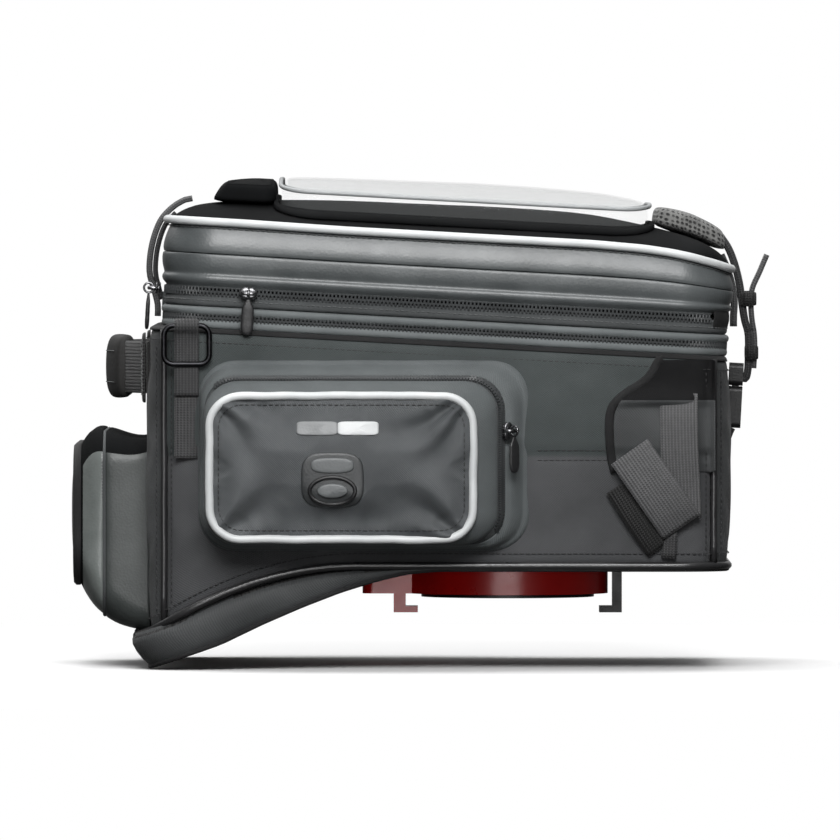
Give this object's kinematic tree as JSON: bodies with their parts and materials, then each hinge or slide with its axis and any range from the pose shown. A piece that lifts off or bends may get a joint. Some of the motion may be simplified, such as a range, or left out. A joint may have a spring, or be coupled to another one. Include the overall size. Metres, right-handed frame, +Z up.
{
  "type": "motorcycle tank bag",
  "caption": "Expandable motorcycle tank bag with a zipped moulded lid, clear map pocket, side and rear pockets, carrying handle and a quick-release tank-ring lock underneath.",
  "frame": {"origin": "centre of the tank ring on the plane where its collar rests on the tank flange", "axes": "+X forward towards the handlebars, +Y to the rider's left, +Z up out of the tank ring"},
  "size_m": [0.4025, 0.3406, 0.2802],
  "materials": {
    "shell_fabric": "woven polyester, laminated",
    "floor_plastic": "matt",
    "grip_rubber": "soft, non-slip",
    "dark_piping": "bound piping",
    "ring_plastic": "glass-filled nylon",
    "red_plastic": "glossy",
    "steel": "plated",
    "backing_aluminium": "plain",
    "zip_tape": "coated zip tape",
    "bellows_fabric": "thin nylon",
    "lid_skin": "moulded, satin",
    "reflective_piping": "reflective",
    "clear_window": "clear",
    "webbing": "ribbed webbing",
    "grip_foam": "foam grip",
    "buckle_plastic": "acetal",
    "black_metal": "black, satin",
    "pull_rubber": "moulded"
  },
  "bodies": {
    "bag": {"front_panel": "shell_fabric", "rear_panel": "shell_fabric", "side_panel_right": "shell_fabric", "side_panel_left": "shell_fabric", "base_board": "floor_plastic", "base_pad": "grip_rubber", "body_piping": "dark_piping", "ring_housing": "ring_plastic", "ring_backing_plate": "backing_aluminium", "ring_screws": "steel", "release_springs": "steel", "expansion_zip_lower": "zip_tape", "bellows": "bellows_fabric", "front_strap_lower": "webbing", "front_buckle_socket": "buckle_plastic", "side_loops": "webbing", "rear_handle": "webbing", "handle_grip": "grip_foam", "handle_anchors": "webbing", "d_ring_tabs": "webbing", "pocket_body_right": "shell_fabric", "pocket_body_left": "shell_fabric", "rear_pocket_body": "shell_fabric"},
    "rim": {"rim_band": "shell_fabric", "expansion_zip_upper": "zip_tape", "main_zip_lower": "zip_tape", "lid_hinge_strip": "bellows_fabric", "rear_strap_patch": "webbing", "front_strap_middle": "webbing"},
    "lid": {"lid_shell": "lid_skin", "main_zip_upper": "zip_tape", "lid_piping": "reflective_piping", "map_frame": "shell_fabric", "map_window": "clear_window", "map_front_block": "shell_fabric", "front_strap_upper": "webbing"},
    "flap": {"map_flap": "shell_fabric"},
    "rear_strap_body": {"rear_strap": "webbing"},
    "front_plug": {"front_buckle_plug": "buckle_plastic"},
    "release": {"release_slide": "red_plastic"},
    "ring_right": {"d_ring_right": "black_metal"},
    "ring_left": {"d_ring_left": "black_metal"},
    "cover_right": {"pocket_cover_right": "shell_fabric", "pocket_piping_right": "reflective_piping"},
    "cover_left": {"pocket_cover_left": "shell_fabric", "pocket_piping_left": "reflective_piping"},
    "rear_cover": {"rear_pocket_cover": "shell_fabric"},
    "main_side_slider_body": {"main_side_slider": "black_metal"},
    "main_side_puller_body": {"main_side_puller": "pull_rubber"},
    "main_rear_slider_body": {"main_rear_slider": "black_metal"},
    "main_rear_puller_body": {"main_rear_puller": "pull_rubber"},
    "expansion_slider_body": {"expansion_slider": "black_metal"},
    "expansion_puller_body": {"expansion_puller": "pull_rubber"},
    "pocket_right_slider_body": {"pocket_right_slider": "black_metal"},
    "pocket_right_puller_body": {"pocket_right_puller": "pull_rubber"},
    "pocket_left_slider_body": {"pocket_left_slider": "black_metal"},
    "pocket_left_puller_body": {"pocket_left_puller": "pull_rubber"},
    "rear_pocket_slider_body": {"rear_pocket_slider": "black_metal"},
    "rear_pocket_puller_body": {"rear_pocket_puller": "pull_rubber"}
  },
  "joints": [
    {"name": "rim_lift", "type": "slide", "parent": "bag", "child": "rim", "axis": [0.055, 0, 0.9985], "range_m": [0, 0.05], "deforming": ["bellows"]},
    {"name": "lid_hinge", "type": "hinge", "parent": "rim", "child": "lid", "pos_m": [0.12752, 0, 0.16102], "axis": [0, 1, 0], "range_deg": [0, 95]},
    {"name": "map_flap_hinge", "type": "hinge", "parent": "lid", "child": "flap", "pos_m": [-0.17029, 0, 0.22908], "axis": [0, -1, 0], "range_deg": [0, 90]},
    {"name": "rear_strap_hinge", "type": "hinge", "parent": "lid", "child": "rear_strap_body", "pos_m": [-0.18627, 0, 0.22816], "axis": [0, 1, 0], "range_deg": [0, 100]},
    {"name": "front_plug_slide", "type": "slide", "parent": "rim", "child": "front_plug", "axis": [0.055, 0, 0.9985], "range_m": [0, 0.018]},
    {"name": "release_slide_travel", "type": "slide", "parent": "bag", "child": "release", "axis": [-1, 0, 0], "range_m": [0, 0.008], "stiffness_N_per_m": 900, "springref_m": -0.003, "deforming": ["release_springs"]},
    {"name": "d_ring_right_hinge", "type": "hinge", "parent": "bag", "child": "ring_right", "pos_m": [-0.184, -0.145, 0.158], "axis": [-1, 0, 0], "range_deg": [0, 150]},
    {"name": "d_ring_left_hinge", "type": "hinge", "parent": "bag", "child": "ring_left", "pos_m": [-0.184, 0.145, 0.158], "axis": [1, 0, 0], "range_deg": [0, 150]},
    {"name": "pocket_right_hinge", "type": "hinge", "parent": "bag", "child": "cover_right", "pos_m": [-0.0955, -0.16645, 0.0315], "axis": [1, 0, 0], "range_deg": [0, 75]},
    {"name": "pocket_left_hinge", "type": "hinge", "parent": "bag", "child": "cover_left", "pos_m": [-0.0955, 0.16645, 0.0315], "axis": [-1, 0, 0], "range_deg": [0, 75]},
    {"name": "rear_pocket_hinge", "type": "hinge", "parent": "bag", "child": "rear_cover", "pos_m": [-0.232, 0, -0.0068], "axis": [0, -1, 0], "range_deg": [0, 65]},
    {"name": "main_side_slider_travel", "type": "slide", "parent": "rim", "child": "main_side_slider_body", "axis": [0.9985, 0, -0.055], "range_m": [-0.01, 0.235]},
    {"name": "main_side_puller_hinge", "type": "hinge", "parent": "main_side_slider_body", "child": "main_side_puller_body", "pos_m": [-0.14856, -0.1436, 0.17621], "axis": [-0.9985, 0, 0.055], "range_deg": [0, 120]},
    {"name": "main_rear_slider_travel", "type": "slide", "parent": "rim", "child": "main_rear_slider_body", "axis": [0, 1, 0], "range_m": [0, 0.07]},
    {"name": "main_rear_puller_hinge", "type": "hinge", "parent": "main_rear_slider_body", "child": "main_rear_puller_body", "pos_m": [-0.20618, -0.1, 0.17938], "axis": [0, 1, 0], "range_deg": [0, 120]},
    {"name": "expansion_slider_travel", "type": "slide", "parent": "bag", "child": "expansion_slider_body", "axis": [0.9985, 0, -0.055], "range_m": [0, 0.065]},
    {"name": "expansion_puller_hinge", "type": "hinge", "parent": "expansion_slider_body", "child": "expansion_puller_body", "pos_m": [0.02235, 0.1436, 0.15178], "axis": [0.9985, 0, -0.055], "range_deg": [0, 120]},
    {"name": "pocket_right_slider_travel", "type": "slide", "parent": "bag", "child": "pocket_right_slider_body", "axis": [0, 0, -1], "range_m": [0, 0.045]},
    {"name": "pocket_right_puller_hinge", "type": "hinge", "parent": "pocket_right_slider_body", "child": "pocket_right_puller_body", "pos_m": [0.00303, -0.15903, 0.098], "axis": [-0.7203, -0.6937, 0], "range_deg": [0, 120]},
    {"name": "pocket_left_slider_travel", "type": "slide", "parent": "bag", "child": "pocket_left_slider_body", "axis": [0, 0, -1], "range_m": [0, 0.045]},
    {"name": "pocket_left_puller_hinge", "type": "hinge", "parent": "pocket_left_slider_body", "child": "pocket_left_puller_body", "pos_m": [0.00303, 0.15903, 0.098], "axis": [0.7203, -0.6937, 0], "range_deg": [0, 120]},
    {"name": "rear_pocket_slider_travel", "type": "slide", "parent": "bag", "child": "rear_pocket_slider_body", "axis": [0, 0, -1], "range_m": [0, 0.044]},
    {"name": "rear_pocket_puller_hinge", "type": "hinge", "parent": "rear_pocket_slider_body", "child": "rear_pocket_puller_body", "pos_m": [-0.23, 0.0998, 0.074], "axis": [1, 0, 0], "range_deg": [0, 120]}
  ]
}
